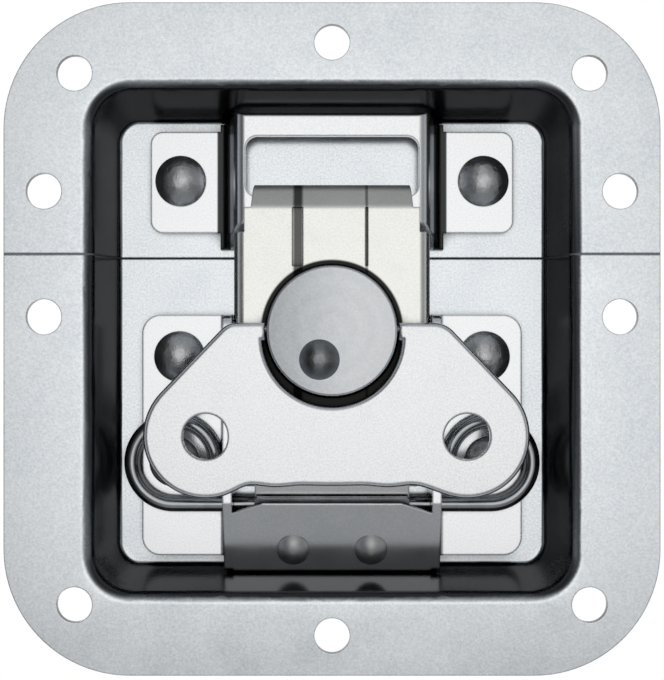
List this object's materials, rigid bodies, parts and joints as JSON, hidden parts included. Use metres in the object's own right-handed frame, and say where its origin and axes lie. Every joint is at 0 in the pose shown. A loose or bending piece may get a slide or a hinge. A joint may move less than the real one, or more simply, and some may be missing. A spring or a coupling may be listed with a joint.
{
  "type": "butterfly case latch",
  "caption": "Recessed twist latch for a transit case: a split pressed dish with a keeper on one half and a sprung draw hook, turning disc and folding butterfly handle on the other.",
  "frame": {"origin": "middle of the pan's outline, at the level of the rivet tails that the part lies on", "axes": "+Z out of the front face, +Y from the latch towards the keeper, +X to the right seen from the front"},
  "size_m": [0.104, 0.1066, 0.0149],
  "materials": {
    "zinc_sheet": "zinc-plated pressed sheet, cool grey, soft sheen",
    "bright_zinc": "bright zinc-plated pressing",
    "hook_zinc": "bright zinc-plated steel, fine speckle",
    "turned_steel": "turned and plated steel, satin grey",
    "rivet_steel": "polished rivet head",
    "spring_steel": "bright spring wire",
    "hood_steel": "domed steel rivet, dark satin"
  },
  "bodies": {
    "pan": {"upper_dish": "zinc_sheet", "lower_dish": "zinc_sheet", "keeper": "bright_zinc", "keeper_rivet_left": "rivet_steel", "keeper_rivet_right": "rivet_steel", "base_bracket": "bright_zinc", "bracket_rivet_left": "rivet_steel", "bracket_rivet_right": "rivet_steel", "loop_rivet_left": "rivet_steel", "loop_rivet_right": "rivet_steel", "leaf_spring": "spring_steel", "leaf_rivet_left": "hood_steel", "leaf_rivet_right": "hood_steel", "wire_spring": "spring_steel"},
    "carrier": {"carrier": "bright_zinc"},
    "hook": {"hook_arm": "hook_zinc"},
    "cam": {"cam_disc": "turned_steel", "cam_washer": "turned_steel", "crank_rivet": "rivet_steel"},
    "handle": {"butterfly_handle": "hook_zinc", "hinge_pin_left": "rivet_steel", "hinge_pin_right": "rivet_steel"}
  },
  "joints": [
    {"name": "carrier_lift", "type": "hinge", "parent": "pan", "child": "carrier", "pos_m": [0, -0.0272, 0.00495], "axis": [1, 0, 0], "range_deg": [0, 10]},
    {"name": "disc_turn", "type": "hinge", "parent": "carrier", "child": "cam", "pos_m": [0, 0.0013, 0.0125], "axis": [0, 0, 1], "range_deg": [0, 180]},
    {"name": "hook_slide", "type": "slide", "parent": "carrier", "child": "hook", "axis": [0, 1, 0], "range_m": [0, 0.0074]},
    {"name": "handle_fold", "type": "hinge", "parent": "cam", "child": "handle", "pos_m": [0, 0.0016, 0.0125], "axis": [-1, 0, 0], "range_deg": [0, 95]}
  ],
  "couplings": [
    {"joint": "hook_slide", "follows": "disc_turn", "m_per_rad": 0.002355}
  ]
}
